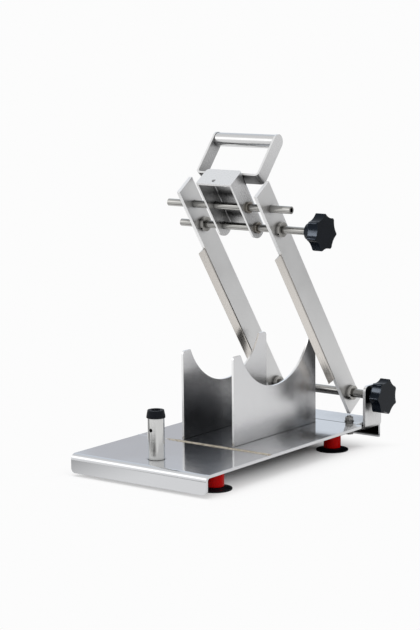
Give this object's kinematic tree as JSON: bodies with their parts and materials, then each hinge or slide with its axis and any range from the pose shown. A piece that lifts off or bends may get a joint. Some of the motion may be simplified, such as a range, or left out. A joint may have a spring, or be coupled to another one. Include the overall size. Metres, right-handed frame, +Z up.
{
  "type": "lever slicer",
  "caption": "Bench lever slicer: a hinged lever carries blade arms down past a notched cradle on a sheet-steel base with suction feet, a stop post, star knobs and a bail handle.",
  "frame": {"origin": "on the table under the middle of the whole part's bounding box", "axes": "+X towards the star knobs, +Y from the front lip to the pivot, +Z up"},
  "size_m": [0.248, 0.4222, 0.4347],
  "materials": {
    "sheet_steel": "polished",
    "bar_steel": "satin",
    "blade_steel": "ground",
    "zinc_steel": "plated",
    "dark_steel": "blackened",
    "bronze": "turned",
    "black_plastic": "satin",
    "red_plastic": "gloss",
    "black_rubber": "matte"
  },
  "bodies": {
    "base": {"base_plate": "sheet_steel", "left_cradle_wall": "sheet_steel", "right_cradle_wall": "sheet_steel", "stop_post": "bar_steel", "stop_post_cap": "black_rubber", "stop_post_screw": "zinc_steel", "front_left_foot": "red_plastic", "front_right_foot": "red_plastic", "rear_left_foot": "red_plastic", "rear_right_foot": "red_plastic", "front_left_suction_cup": "black_rubber", "front_right_suction_cup": "black_rubber", "rear_left_suction_cup": "black_rubber", "rear_right_suction_cup": "black_rubber", "foot_studs": "zinc_steel", "rear_plate": "sheet_steel", "pivot_yoke": "sheet_steel", "yoke_bolts": "zinc_steel", "yoke_washers": "zinc_steel", "yoke_nuts": "zinc_steel", "left_ear_bush": "bronze", "right_ear_bush": "bronze"},
    "lever": {"pivot_shaft": "bar_steel", "upper_cross_rod": "bar_steel", "lower_cross_rod": "bar_steel", "head_bracket": "sheet_steel", "head_bushes": "dark_steel", "handle_frame": "sheet_steel", "handle_grip": "bar_steel"},
    "left_blade_arm": {"left_arm": "bar_steel", "left_blade": "blade_steel", "left_pivot_boss": "bar_steel", "left_pivot_collar": "bar_steel", "left_rod_collar": "bar_steel", "left_set_screws": "dark_steel"},
    "right_blade_arm": {"right_arm": "bar_steel", "right_blade": "blade_steel", "right_pivot_boss": "bar_steel", "right_pivot_collar": "bar_steel", "right_rod_collar": "bar_steel", "right_set_screws": "dark_steel"},
    "rod_knob": {"rod_knob": "black_plastic", "rod_knob_insert": "bronze"},
    "pivot_knob": {"pivot_knob": "black_plastic", "pivot_knob_insert": "bronze"}
  },
  "joints": [
    {"name": "lever_swing", "type": "hinge", "parent": "base", "child": "lever", "pos_m": [-0.014, 0.18286, 0.0651], "axis": [1, 0, 0], "range_deg": [-34, 53]},
    {"name": "left_arm_slide", "type": "slide", "parent": "lever", "child": "left_blade_arm", "axis": [1, 0, 0], "range_m": [-0.02, 0.015]},
    {"name": "right_arm_slide", "type": "slide", "parent": "lever", "child": "right_blade_arm", "axis": [1, 0, 0], "range_m": [-0.015, 0.018]},
    {"name": "rod_knob_turn", "type": "hinge", "parent": "lever", "child": "rod_knob", "pos_m": [0.0965, 0.01493, 0.31128], "axis": [1, 0, 0], "continuous": true},
    {"name": "pivot_knob_turn", "type": "hinge", "parent": "lever", "child": "pivot_knob", "pos_m": [0.0893, 0.18286, 0.0651], "axis": [1, 0, 0], "continuous": true}
  ]
}
